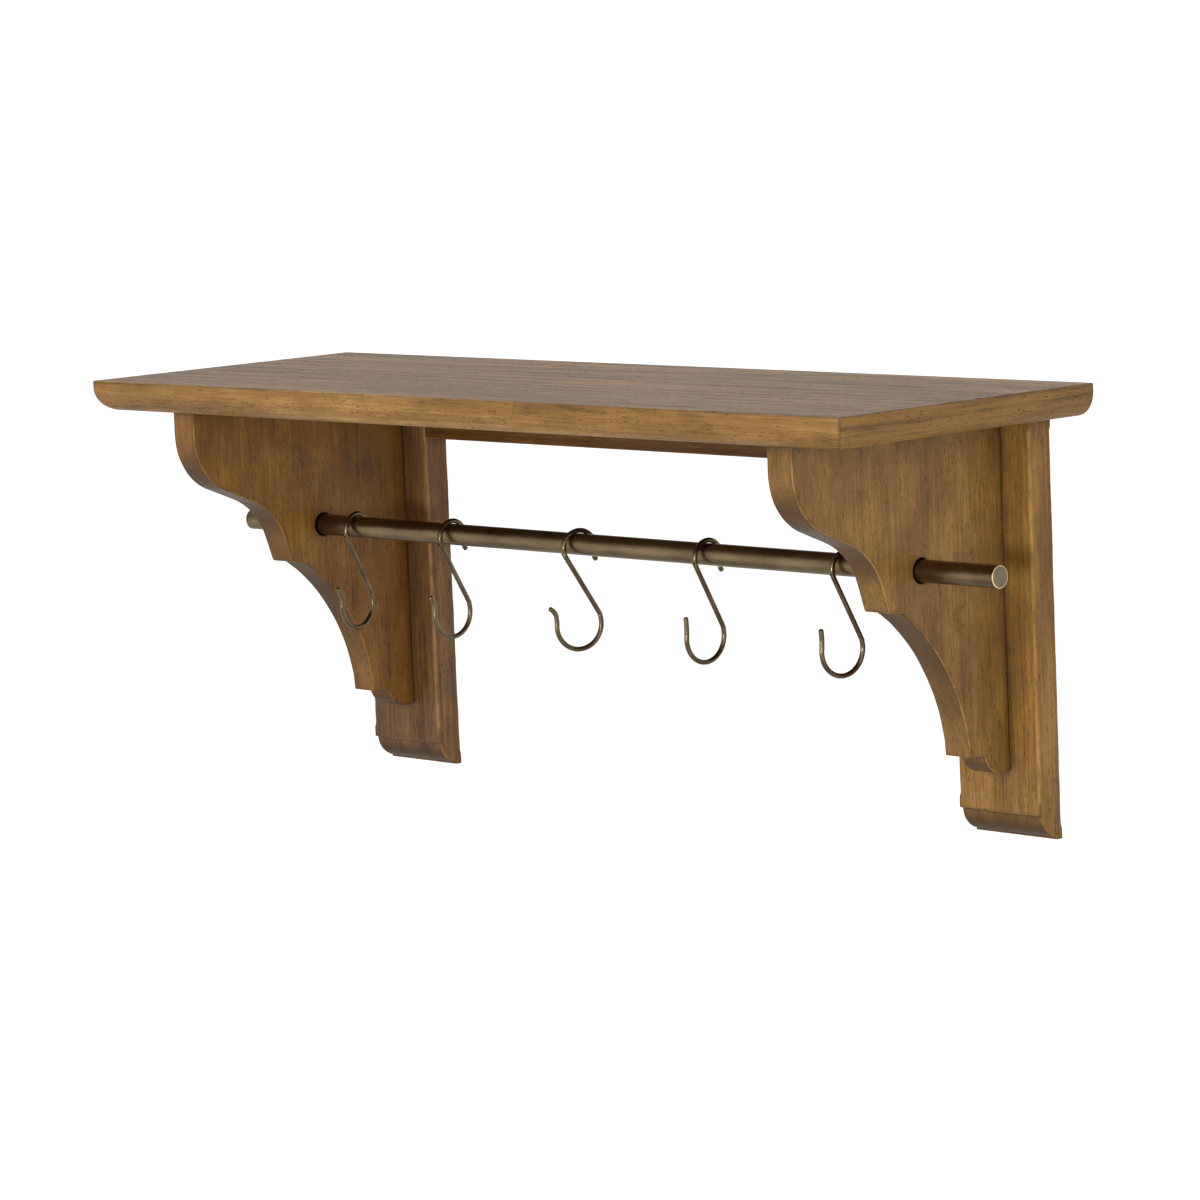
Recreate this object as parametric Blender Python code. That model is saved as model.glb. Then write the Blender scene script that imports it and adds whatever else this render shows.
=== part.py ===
"""Wall shelf on two scrolled brackets, with a brass rod through them and five S-hooks on the rod.

Metres, +Z up. The wall is the plane Y = 0 and the shelf stands out towards -Y. X = 0 is the middle
of the board. Z = 0 is the hanging line: the top end of the keyholes that carry the shelf.
"""

import math

import bmesh
import bpy
from mathutils import Matrix, Vector

# Driving dimensions
GAP = 0.0003  # left between pieces that touch
BOARD_LENGTH = 0.914
BOARD_DEPTH = 0.305
STOCK = 0.0275  # thickness of the planed timber: board, brackets, backplates and rail
EDGE_ROUND_IN = 0.018  # how far the board's rounded-under edge comes in
EDGE_FLAT = 0.0065  # height of the flat band above it
HEIGHT = 0.381  # from the top of the board to the foot of the backplates
HANGING_DROP = 0.066  # from the top of the board down to the hanging line

SIDE_X = 0.3657  # middle of each bracket and its backplate
BACKPLATE_WIDTH = 0.0885
RAIL_HEIGHT = 0.046
ARRIS = 0.0012  # eased edge of the timber

ROD_RADIUS = 0.0095
ROD_WALL = 0.0015
ROD_LENGTH = 0.914
ROD_SHIFT = 0.0058  # the rod has slid this far to the right
ROD_OUT = 0.129  # rod axis to the wall
ROD_DROP = 0.144  # rod axis below the top of the board
ROD_BORE_RADIUS = 0.0107
CAP_FLANGE = 0.0022
CAP_SPIGOT_LENGTH = 0.012

HOOK_WIRE = 0.0022  # radius of the wire
HOOK_LOOP = 0.0152  # radius of the upper loop, to the middle of the wire
HOOK_BOWL = 0.0215  # radius of the lower bowl
HOOK_BOWL_DROP = 0.0700  # rod axis down to the middle of the bowl
HOOK_BOWL_FORWARD = 0.0050
HOOK_PLACES = (  # along the rod from its middle; turn about the vertical; swing out; tip flare
    (-0.3076, -8.0, 2.8, 1.0),
    (-0.1800, 0.0, 2.8, 0.8),
    (-0.0185, 18.0, 2.3, 1.15),
    (0.1373, 3.0, 4.8, 0.15),
    (0.2965, 9.0, 5.8, 0.2),
)

DOWEL_RADIUS = 0.004
DOWEL_LENGTH = 0.034
DOWEL_CHAMFER = 0.0008
PLATE_SCREW = {"head": 0.0042, "shank": 0.0021, "length": 0.050}
PLATE_SCREW_DROPS = (0.112, 0.270)
PLATE_SCREW_DEPTH = 0.0008  # the head sits this far below the backplate's rear face

HANGER_WIDTH = 0.020
HANGER_HEIGHT = 0.052
HANGER_THICK = 0.0018
HANGER_SLOT = 0.0026  # half the width of the keyhole's slot
HANGER_ENTRY = 0.0052  # radius of the keyhole's round entry
HANGER_ENTRY_DROP = 0.013
HANGER_SCREW = {"head": 0.0033, "shank": 0.0014, "length": 0.015}
HANGER_SCREW_SPACING = 0.0405
POCKET_DEPTH = 0.011  # room behind the keyhole for a wall screw's head

TOP = HANGING_DROP
UNDERSIDE = TOP - STOCK


# Materials

FINISHES = {
    "oiled_wood": ((0.26, 0.145, 0.065), 0.5, 0.0),
    "shaded_wood": ((0.20, 0.115, 0.055), 0.55, 0.0),
    "beech": ((0.62, 0.45, 0.27), 0.6, 0.0),
    "aged_brass": ((0.29, 0.22, 0.12), 0.38, 1.0),
    "hook_brass": ((0.24, 0.18, 0.10), 0.35, 1.0),
    "zinc_steel": ((0.55, 0.55, 0.56), 0.35, 1.0),
    "screw_steel": ((0.42, 0.40, 0.36), 0.4, 1.0),
}


def paint(obj, finish):
    """Gives the object its own Principled material."""
    colour, roughness, metallic = FINISHES[finish]
    material = bpy.data.materials.new(f"{obj.name}_{finish}")
    material.use_nodes = True
    shader = material.node_tree.nodes["Principled BSDF"]
    shader.inputs["Base Color"].default_value = (*colour, 1.0)
    shader.inputs["Roughness"].default_value = roughness
    shader.inputs["Metallic"].default_value = metallic
    obj.data.materials.append(material)
    return obj


# Shape helpers

def mesh_object(name, bm):
    bmesh.ops.recalc_face_normals(bm, faces=bm.faces)
    mesh = bpy.data.meshes.new(name)
    bm.to_mesh(mesh)
    bm.free()
    obj = bpy.data.objects.new(name, mesh)
    bpy.context.scene.collection.objects.link(obj)
    return obj


def extruded(name, outline, x_low, x_high):
    """A solid with the outline (distance from the wall, height) from x_low to x_high."""
    bm = bmesh.new()
    face = bm.faces.new([bm.verts.new((x_low, -out, height)) for out, height in outline])
    grown = bmesh.ops.extrude_face_region(bm, geom=[face])
    moved = [item for item in grown["geom"] if isinstance(item, bmesh.types.BMVert)]
    bmesh.ops.translate(bm, verts=moved, vec=(x_high - x_low, 0, 0))
    return mesh_object(name, bm)


def turned(name, profile, direction, steps):
    """A solid of revolution from a closed profile of (distance along the axis, radius)."""
    bm = bmesh.new()
    points = [bm.verts.new((radius, 0, along)) for along, radius in profile]
    on_axis = profile[0][1] == 0 and profile[-1][1] == 0
    ends = points[1:] if on_axis else points[1:] + points[:1]
    edges = [bm.edges.new(pair) for pair in zip(points, ends)]
    bmesh.ops.spin(
        bm, geom=points + edges, cent=(0, 0, 0), axis=(0, 0, 1), angle=math.tau, steps=steps
    )
    bmesh.ops.remove_doubles(bm, verts=bm.verts, dist=1e-6)
    bmesh.ops.transform(
        bm, verts=bm.verts, matrix=Vector((0, 0, 1)).rotation_difference(direction).to_matrix()
    )
    obj = mesh_object(name, bm)
    obj.data.shade_smooth()
    obj.data.set_sharp_from_angle(angle=math.radians(35))
    return obj


def cylinder_cutter(name, start, direction, radius, length, steps=24):
    profile = [(0, 0), (0, radius), (length, radius), (length, 0)]
    cutter = turned(name, profile, Vector(direction), steps)
    cutter.location = start
    return hidden(cutter)


def box_cutter(name, low, high):
    bm = bmesh.new()
    bmesh.ops.create_cube(bm, size=1)
    size = [b - a for a, b in zip(low, high)]
    middle = [(a + b) / 2 for a, b in zip(low, high)]
    matrix = Matrix.Translation(middle) @ Matrix.Diagonal((*size, 1))
    bmesh.ops.transform(bm, verts=bm.verts, matrix=matrix)
    return hidden(mesh_object(name, bm))


def hidden(cutter):
    cutter.hide_render = True
    cutter.display_type = "WIRE"
    return cutter


def cut(obj, cutter):
    boolean = obj.modifiers.new(f"cut_{cutter.name}", "BOOLEAN")
    boolean.operation = "DIFFERENCE"
    boolean.solver = "EXACT"
    boolean.object = cutter
    return obj


def ease(obj, width=ARRIS):
    """Breaks the sharp edges, as sanding does."""
    bevel = obj.modifiers.new("eased_edges", "BEVEL")
    bevel.width = width
    bevel.segments = 2
    bevel.limit_method = "ANGLE"
    bevel.angle_limit = math.radians(40)
    bevel.use_clamp_overlap = True
    return obj


def arc(centre, radius, start, end, steps):
    """Points on a circle, with angles in degrees from straight out, turning downwards."""
    angles = [math.radians(start + (end - start) * i / steps) for i in range(steps + 1)]
    return [(centre[0] + radius * math.cos(a), centre[1] - radius * math.sin(a)) for a in angles]


# Timber

def make_top_board():
    """A board whose front and ends are square above and rounded under; its back is square."""
    round_down = STOCK - EDGE_FLAT
    levels = [(ARRIS / 2, TOP), (0, TOP - ARRIS / 2), (0, TOP - EDGE_FLAT)]
    for step in range(1, 9):
        angle = math.radians(90 * step / 8)
        inset = EDGE_ROUND_IN * (1 - math.cos(angle))
        levels.append((inset, TOP - EDGE_FLAT - round_down * math.sin(angle)))
    bm = bmesh.new()
    rings = []
    for inset, height in levels:
        x, front = BOARD_LENGTH / 2 - inset, inset - BOARD_DEPTH
        corners = ((-x, 0), (-x, front), (x, front), (x, 0))
        rings.append([bm.verts.new((*corner, height)) for corner in corners])
    bm.faces.new(rings[0])
    bm.faces.new(rings[-1])
    for upper, lower in zip(rings, rings[1:]):
        for i in range(4):
            j = (i + 1) % 4
            bm.faces.new((upper[i], upper[j], lower[j], lower[i]))
    board = paint(mesh_object("top_board", bm), "oiled_wood")
    for name, x, out in board_dowel_places():
        cut_dowel_hole(board, name, (x, -out, UNDERSIDE), (0, 0, 1))
    return board


def bracket_outline():
    """The scrolled side of a bracket, from its top front corner round to its top back corner."""
    ovolo = arc((0.2230, TOP - 0.0505), 0.0548, 0, 68, 10)
    straight_slope = math.radians(22)
    cove_start = (0.2140, TOP - 0.1135)
    cove_radius = 0.065
    cove_centre = (
        cove_start[0] + cove_radius * math.sin(straight_slope),
        cove_start[1] - cove_radius * math.cos(straight_slope),
    )
    cove = arc(cove_centre, cove_radius, -112, -162, 6)
    first_step = [(0.1697, TOP - 0.1742), (0.1524, TOP - 0.1768)]
    cavetto = arc((0.2535, TOP - 0.3245), 0.178, -124, -173.6, 12)
    second_step = (0.0768, TOP - 0.3052)
    toe = arc((0.0390, TOP - 0.3030), 0.0200, 14, 90, 7)
    back = STOCK + GAP
    return [
        (0.2778, UNDERSIDE - GAP),
        *ovolo,
        *cove,
        *first_step,
        *cavetto,
        second_step,
        *toe,
        (back, TOP - 0.3230),
        (back, UNDERSIDE - GAP),
    ]


def make_bracket(side, sign):
    middle = sign * SIDE_X
    half = STOCK / 2
    bracket = extruded(f"bracket_{side}", bracket_outline(), middle - half, middle + half)
    ease(paint(bracket, "oiled_wood"))
    bore = cylinder_cutter(
        f"bore_{side}",
        (middle - STOCK, -ROD_OUT, TOP - ROD_DROP),
        (1, 0, 0),
        ROD_BORE_RADIUS,
        2 * STOCK,
        48,
    )
    cut(bracket, bore)
    for name, x, out in bracket_dowel_places():
        if name.startswith(f"bracket_dowel_{side}"):
            cut_dowel_hole(bracket, name, (x, -out, UNDERSIDE - GAP), (0, 0, -1))
    for name, place in plate_screw_places():
        if name.startswith(f"plate_screw_{side}"):
            cut_screw_hole(bracket, name, place, PLATE_SCREW)
    return bracket


def backplate_outline():
    """Side view of a backplate: square above, with a stepped and rounded foot."""
    foot = TOP - HEIGHT
    ovolo = arc((0.0037, foot + 0.0232), 0.0216, 4, 76, 7)
    return [
        (0, UNDERSIDE - GAP),
        (STOCK, UNDERSIDE - GAP),
        (STOCK, foot + 0.0222),
        *ovolo,
        (0.0070, foot + 0.0018),
        (0.0070, foot),
        (0, foot),
    ]


def make_backplate(side, sign):
    middle = sign * SIDE_X
    half = BACKPLATE_WIDTH / 2
    plate = extruded(f"backplate_{side}", backplate_outline(), middle - half, middle + half)
    ease(paint(plate, "oiled_wood"), ARRIS * 0.8)
    for name, start, direction in rail_dowel_places():
        if name.startswith(f"rail_dowel_{side}"):
            edge = (sign * (SIDE_X - half), start[1], start[2])
            cut_dowel_hole(plate, name, edge, [-value for value in direction])
    for name, place in plate_screw_places():
        if name.startswith(f"plate_screw_{side}"):
            cut_screw_hole(plate, name, place, PLATE_SCREW)
    cut_hanger_recess(plate, side, middle)
    return plate


def make_rear_rail():
    """The rail under the back of the board, between the backplates."""
    end = SIDE_X - BACKPLATE_WIDTH / 2 - GAP
    top = UNDERSIDE - GAP
    outline = [(0, top), (STOCK, top), (STOCK, top - RAIL_HEIGHT), (0, top - RAIL_HEIGHT)]
    rail = ease(paint(extruded("rear_rail", outline, -end, end), "shaded_wood"))
    for name, x, out in rail_top_dowel_places():
        cut_dowel_hole(rail, name, (x, -out, top), (0, 0, -1))
    for name, start, direction in rail_dowel_places():
        cut_dowel_hole(rail, name, start, direction)
    return rail


# Dowels and screws that hold the timber together

def bracket_dowel_places():
    return [
        (f"bracket_dowel_{side}_{place}", sign * SIDE_X, out)
        for side, sign in (("left", -1), ("right", 1))
        for place, out in (("front", 0.235), ("back", 0.075))
    ]


def rail_top_dowel_places():
    return [(f"rail_top_dowel_{i + 1}", x, STOCK / 2) for i, x in enumerate((-0.2, 0.0, 0.2))]


def board_dowel_places():
    return bracket_dowel_places() + rail_top_dowel_places()


def rail_dowel_places():
    """Name, middle of the rail's end face at the dowel, and the direction into the rail."""
    end = SIDE_X - BACKPLATE_WIDTH / 2 - GAP
    rows = []
    for side, sign in (("left", -1), ("right", 1)):
        for place, share in (("upper", 0.28), ("lower", 0.74)):
            height = UNDERSIDE - GAP - share * RAIL_HEIGHT
            rows.append(
                (f"rail_dowel_{side}_{place}", (sign * end, -STOCK / 2, height), (-sign, 0, 0))
            )
    return rows


def cut_dowel_hole(obj, dowel, mouth, direction):
    """A blind hole for half a dowel, with a little room at its end."""
    depth = DOWEL_LENGTH / 2 + 0.001
    overshoot = 0.002
    start = [m - overshoot * d for m, d in zip(mouth, direction)]
    cutter = cylinder_cutter(
        f"hole_{obj.name}_{dowel}",
        start,
        direction,
        DOWEL_RADIUS + GAP,
        depth + overshoot,
        16,
    )
    cut(obj, cutter)


def make_dowel(name, middle, direction):
    half, radius, chamfer = DOWEL_LENGTH / 2, DOWEL_RADIUS, DOWEL_CHAMFER
    profile = [
        (-half, 0),
        (-half, radius - chamfer),
        (chamfer - half, radius),
        (half - chamfer, radius),
        (half, radius - chamfer),
        (half, 0),
    ]
    dowel = paint(turned(name, profile, Vector(direction), 16), "beech")
    dowel.location = middle
    return dowel


def make_dowels():
    for name, x, out in board_dowel_places():
        make_dowel(name, (x, -out, UNDERSIDE - GAP / 2), (0, 0, 1))
    for name, start, direction in rail_dowel_places():
        middle = [s - GAP / 2 * d for s, d in zip(start, direction)]
        make_dowel(name, middle, direction)


def plate_screw_places():
    return [
        (f"plate_screw_{side}_{place}", (sign * SIDE_X, -PLATE_SCREW_DEPTH, TOP - drop))
        for side, sign in (("left", -1), ("right", 1))
        for place, drop in zip(("upper", "lower"), PLATE_SCREW_DROPS)
    ]


def hanger_screw_places():
    return [
        (
            f"hanger_screw_{side}_{place}",
            (sign * SIDE_X, -0.0004, -HANGER_ENTRY_DROP / 2 + turn * HANGER_SCREW_SPACING / 2),
        )
        for side, sign in (("left", -1), ("right", 1))
        for place, turn in (("upper", 1), ("lower", -1))
    ]


def screw_profile(size, extra=0.0):
    """Countersunk screw from head to point; extra grows it into its own clearance hole."""
    head, shank, length = size["head"], size["shank"], size["length"]
    cone = head - shank
    return [
        (0, 0),
        (0, head + extra),
        (0.0004, head + extra),
        (0.0004 + cone, shank + extra),
        (length - 2 * shank, shank + extra),
        (length + extra, 0.0003 + extra),
        (length + extra, 0),
    ]


def cut_screw_hole(obj, screw, place, size):
    """The hole stands open behind the head as far as the back face."""
    profile = screw_profile(size, GAP)
    profile[0] = (-0.004, 0)
    profile[1] = (-0.004, profile[1][1])
    cutter = turned(f"hole_{obj.name}_{screw}", profile, Vector((0, -1, 0)), 16)
    cutter.location = place
    cut(obj, hidden(cutter))


def make_screw(name, place, size):
    screw = turned(name, screw_profile(size), Vector((0, -1, 0)), 16)
    paint(screw, "screw_steel")
    screw.location = place
    drive = box_cutter(
        f"drive_{name}",
        (place[0] - size["head"] * 0.62, place[1] - 0.0009, place[2] - 0.0005),
        (place[0] + size["head"] * 0.62, place[1] + 0.001, place[2] + 0.0005),
    )
    return cut(screw, drive)


# Keyhole hangers in the backs of the backplates

def cut_hanger_recess(plate, side, middle):
    """A shallow seat for the hanger and a deeper pocket behind its keyhole."""
    half_width = HANGER_WIDTH / 2 + GAP
    low = -HANGER_ENTRY_DROP / 2 - HANGER_HEIGHT / 2 - GAP
    high = -HANGER_ENTRY_DROP / 2 + HANGER_HEIGHT / 2 + GAP
    seat = box_cutter(
        f"seat_{side}",
        (middle - half_width, -HANGER_THICK - 2 * GAP, low),
        (middle + half_width, 0.004, high),
    )
    pocket = box_cutter(
        f"pocket_{side}",
        (middle - 0.0065, -POCKET_DEPTH, -HANGER_ENTRY_DROP - 0.007),
        (middle + 0.0065, 0.004, 0.006),
    )
    cut(cut(plate, seat), pocket)
    for name, place in hanger_screw_places():
        if name.startswith(f"hanger_screw_{side}"):
            cut_screw_hole(plate, name, place, HANGER_SCREW)


def make_hanger(side, sign):
    middle = sign * SIDE_X
    centre = -HANGER_ENTRY_DROP / 2
    straight = (HANGER_HEIGHT - HANGER_WIDTH) / 2
    radius = HANGER_WIDTH / 2
    rim = []
    for i in range(24):
        angle = math.tau * (i + 0.5) / 24
        lift = straight if math.sin(angle) > 0 else -straight
        rim.append((middle + radius * math.cos(angle), centre + lift + radius * math.sin(angle)))
    bm = bmesh.new()
    face = bm.faces.new([bm.verts.new((x, -GAP, z)) for x, z in rim])
    grown = bmesh.ops.extrude_face_region(bm, geom=[face])
    moved = [item for item in grown["geom"] if isinstance(item, bmesh.types.BMVert)]
    bmesh.ops.translate(bm, verts=moved, vec=(0, -HANGER_THICK, 0))
    hanger = paint(mesh_object(f"keyhole_hanger_{side}", bm), "zinc_steel")
    deep = 4 * HANGER_THICK
    start_y = HANGER_THICK
    cut(
        hanger,
        cylinder_cutter(
            f"entry_{side}", (middle, start_y, -HANGER_ENTRY_DROP), (0, -1, 0), HANGER_ENTRY, deep
        ),
    )
    cut(
        hanger,
        box_cutter(
            f"slot_{side}",
            (middle - HANGER_SLOT, -deep, -HANGER_ENTRY_DROP),
            (middle + HANGER_SLOT, start_y, -HANGER_SLOT),
        ),
    )
    cut(
        hanger,
        cylinder_cutter(
            f"slot_end_{side}", (middle, start_y, -HANGER_SLOT), (0, -1, 0), HANGER_SLOT, deep, 16
        ),
    )
    for name, place in hanger_screw_places():
        if name.startswith(f"hanger_screw_{side}"):
            cut_screw_hole(hanger, name, place, HANGER_SCREW)
    return hanger


# Rod and hooks

def make_rod():
    """A brass tube through both brackets, closed by a plug at each end."""
    rod_frame = bpy.data.objects.new("rod_frame", None)
    rod_frame.location = (ROD_SHIFT, -ROD_OUT, TOP - ROD_DROP)
    bpy.context.scene.collection.objects.link(rod_frame)
    half = ROD_LENGTH / 2 - CAP_FLANGE - GAP
    inner = ROD_RADIUS - ROD_WALL
    tube = turned(
        "rod_tube",
        [(-half, ROD_RADIUS), (half, ROD_RADIUS), (half, inner), (-half, inner)],
        Vector((1, 0, 0)),
        48,
    )
    paint(tube, "aged_brass").parent = rod_frame
    spigot = inner - GAP
    chamfer = 0.0006
    for side, sign in (("left", -1), ("right", 1)):
        profile = [
            (-CAP_FLANGE - CAP_SPIGOT_LENGTH, 0),
            (-CAP_FLANGE - CAP_SPIGOT_LENGTH, spigot),
            (-CAP_FLANGE, spigot),
            (-CAP_FLANGE, ROD_RADIUS),
            (-chamfer, ROD_RADIUS),
            (0, ROD_RADIUS - chamfer),
            (0, 0),
        ]
        cap = turned(f"rod_cap_{side}", profile, Vector((sign, 0, 0)), 48)
        paint(cap, "aged_brass").parent = rod_frame
        cap.location = (sign * ROD_LENGTH / 2, 0, 0)


def hook_curve(flare):
    """Middle line of a hook as (forward, up) from the rod axis, from its tail to its tip."""
    loop_centre = Vector((0, ROD_RADIUS + GAP + HOOK_WIRE - HOOK_LOOP))
    bowl_centre = Vector((HOOK_BOWL_FORWARD, -HOOK_BOWL_DROP))
    # The straight shank is the inner common tangent of the loop and the bowl.
    span = bowl_centre - loop_centre
    lean = math.asin((HOOK_LOOP + HOOK_BOWL) / span.length)
    along = math.atan2(span.y, span.x)
    leave = along + math.pi / 2 - lean

    def on(centre, radius, angle):
        return centre + Vector((math.cos(angle), math.sin(angle))) * radius

    tail_angle = math.radians(180)
    steps = 14
    tail = on(loop_centre, HOOK_LOOP, tail_angle)
    tail_steps = ((-0.0008, -0.0124), (0.0014, -0.0092), (0.0012, -0.0050))
    points = [tail + Vector(step) for step in tail_steps]
    for i in range(steps + 1):
        angle = tail_angle + (leave - tail_angle) * i / steps
        points.append(on(loop_centre, HOOK_LOOP, angle))
    bowl_start = leave - math.pi
    bowl_end = math.radians(8)
    if bowl_end < bowl_start:
        bowl_end += math.tau
    steps = 18
    for i in range(steps + 1):
        angle = bowl_start + (bowl_end - bowl_start) * i / steps
        points.append(on(bowl_centre, HOOK_BOWL, angle))
    # The tip leaves the bowl upwards and flares forward, each by a different amount.
    tip = points[-1]
    spare = (1 - flare) * 0.0015
    for forward, up in ((0, 0.004), (0.0006, 0.0080), (0.0026, 0.0116), (0.0058, 0.0148 + spare)):
        points.append(tip + Vector((forward * flare, up)))
    return points


def balance_turn(points):
    """How far the hook must turn about the rod axis for its centre of mass to hang below it."""
    weight, moment = 0.0, Vector((0, 0))
    for start, end in zip(points, points[1:]):
        length = (end - start).length
        weight += length
        moment += (start + end) / 2 * length
    centre = moment / weight
    return math.atan2(centre.x, -centre.y)


def make_hooks():
    """Each hook hangs a few degrees forward of its balance, held by the grip of the rod."""
    for number, (x, turn, swing, flare) in enumerate(HOOK_PLACES, start=1):
        shape = hook_curve(flare)
        hang = Matrix.Rotation(math.radians(swing) - balance_turn(shape), 2)
        line = [hang @ point for point in shape]
        curve = bpy.data.curves.new(f"s_hook_{number}", "CURVE")
        curve.dimensions = "3D"
        spline = curve.splines.new("POLY")
        spline.points.add(len(line) - 1)
        for point, (forward, up) in zip(spline.points, line):
            point.co = (0, -forward, up, 1)
        curve.bevel_depth = HOOK_WIRE
        curve.bevel_resolution = 2
        curve.use_fill_caps = True
        hook = bpy.data.objects.new(f"s_hook_{number}", curve)
        bpy.context.scene.collection.objects.link(hook)
        hook.location = (x, -ROD_OUT, TOP - ROD_DROP)
        hook.rotation_euler = (0, 0, -math.radians(turn))
        paint(hook, "hook_brass")


def main():
    for obj in list(bpy.data.objects):
        bpy.data.objects.remove(obj, do_unlink=True)
    make_top_board()
    make_rear_rail()
    for side, sign in (("left", -1), ("right", 1)):
        make_bracket(side, sign)
        make_backplate(side, sign)
        make_hanger(side, sign)
    make_dowels()
    for name, place in plate_screw_places():
        make_screw(name, place, PLATE_SCREW)
    for name, place in hanger_screw_places():
        make_screw(name, place, HANGER_SCREW)
    make_rod()
    make_hooks()


main()
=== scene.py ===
"""Looks of the wall shelf: timber with worn arrises, antique brass rod and hooks, studio light.

Metres. X along the board, the wall at Y = 0 with the shelf towards -Y, Z up from the hanging line.
"""
import math

import bmesh
import bpy
from mathutils import Matrix, Vector, noise


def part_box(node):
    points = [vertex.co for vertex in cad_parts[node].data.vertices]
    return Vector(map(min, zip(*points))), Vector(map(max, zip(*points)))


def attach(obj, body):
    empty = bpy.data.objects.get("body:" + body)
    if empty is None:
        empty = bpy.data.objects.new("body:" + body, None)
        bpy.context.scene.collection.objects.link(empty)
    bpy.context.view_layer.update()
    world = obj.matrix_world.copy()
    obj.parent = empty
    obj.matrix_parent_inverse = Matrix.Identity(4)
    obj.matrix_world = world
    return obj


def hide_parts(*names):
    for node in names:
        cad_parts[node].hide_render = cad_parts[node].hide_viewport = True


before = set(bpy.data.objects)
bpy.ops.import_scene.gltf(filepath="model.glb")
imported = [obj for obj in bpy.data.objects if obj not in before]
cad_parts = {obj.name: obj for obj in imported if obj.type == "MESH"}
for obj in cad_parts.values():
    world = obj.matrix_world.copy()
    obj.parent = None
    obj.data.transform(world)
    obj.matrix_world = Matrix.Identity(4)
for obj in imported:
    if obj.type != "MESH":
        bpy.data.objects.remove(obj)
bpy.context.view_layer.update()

# Sizes shared with the CAD model
STOCK = 0.0275
GAP = 0.0003
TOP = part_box("top_board")[1].z
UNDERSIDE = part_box("top_board")[0].z
BOARD_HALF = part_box("top_board")[1].x
BOARD_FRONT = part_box("top_board")[0].y
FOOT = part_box("backplate_right")[0].z
MOULDING_TOP = FOOT + 0.0225  # the moulding along the foot of a backplate starts below this
EDGE_ROUND_IN = 0.018
EDGE_FLAT = 0.0065
ROD_RADIUS = 0.0095
ROD_WALL = 0.0015
ROD_BORE = 0.0107
ROD_LOW, ROD_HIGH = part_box("rod_tube")
ROD_AXIS = Vector((0, (ROD_LOW.y + ROD_HIGH.y) / 2, (ROD_LOW.z + ROD_HIGH.z) / 2))
CAP_FLANGE = 0.0022
HOOK_WIRE = 0.0022
HOOK_LOOP = 0.0152
HOOK_BOWL = 0.0215
HOOK_BOWL_CENTRE = Vector((0.0050, -0.0700))
HOOK_PLACES = (  # along the rod; turn about the vertical; swing out; tip flare
    (-0.3076, -8.0, 2.8, 1.0),
    (-0.1800, 0.0, 2.8, 0.8),
    (-0.0185, 18.0, 2.3, 1.15),
    (0.1373, 3.0, 4.8, 0.15),
    (0.2965, 9.0, 5.8, 0.2),
)
SIDES = (("left", -1), ("right", 1))

# Sizes of the visual model alone
BOARD_ARRIS = 0.0011
BOARD_ARRIS_STEPS = 4
BRACKET_ARRIS = 0.0012
PLATE_ARRIS = 0.0028
RAIL_ARRIS = 0.0011
THINNEST_ARRIS = 0.0005
BORE_FLARE = 0.0007
OVERSHOOT = 0.003  # how far a cutter reaches past the face it cuts
CAP_RIM = 0.0007
CAP_ROUND = 0.0005
FLOOR_DROP = 2.6  # from the foot of the shelf to the floor
FLOOR_RADIUS = 600.0


# Node trees

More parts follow.
